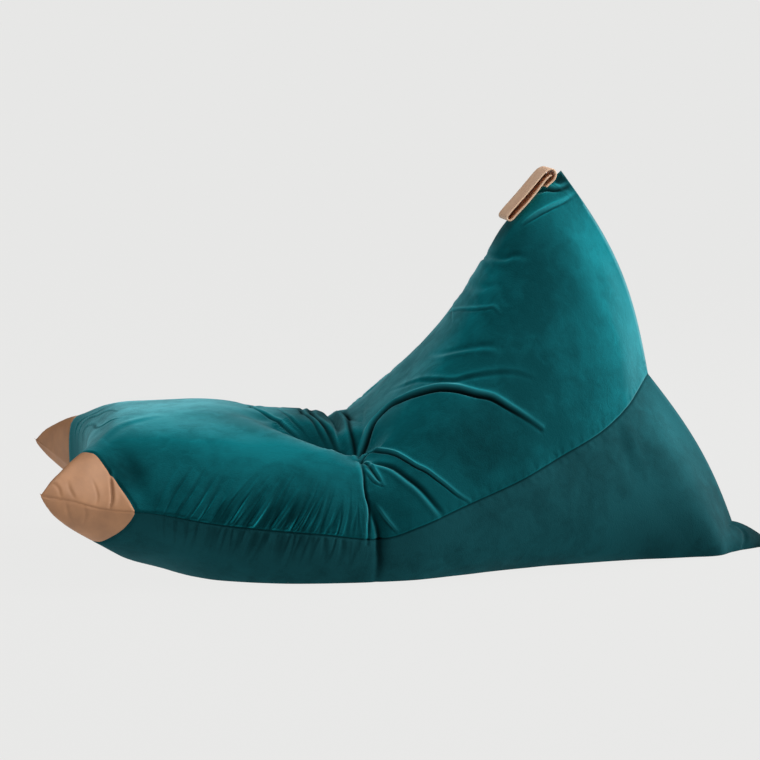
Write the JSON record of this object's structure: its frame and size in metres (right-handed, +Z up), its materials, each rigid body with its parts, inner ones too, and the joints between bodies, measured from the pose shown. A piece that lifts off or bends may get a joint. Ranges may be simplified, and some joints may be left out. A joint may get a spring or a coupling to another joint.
{
  "type": "triangular bean bag pouf with leather caps and handle",
  "caption": "Triangular bean bag lounger: a filled velvet bag with a low seat and a raised backrest, leather front corners and a folded leather handle at the apex.",
  "frame": {"origin": "on the floor, in the plane of symmetry, inside the flat base just behind the waist between seat and back", "axes": "+Z up, -Y towards the seat's front edge, +Y towards the back and its tail, +X towards the sitter's left"},
  "size_m": [0.8116, 1.4351, 0.741],
  "materials": {
    "teal_velvet": "short pile velvet with a soft sheen",
    "tan_leather": "smooth matt tan leather"
  },
  "bodies": {
    "root": {"bag_velvet": "teal_velvet", "corner_cap_left": "tan_leather", "corner_cap_right": "tan_leather", "handle_strap": "tan_leather"}
  },
  "joints": []
}
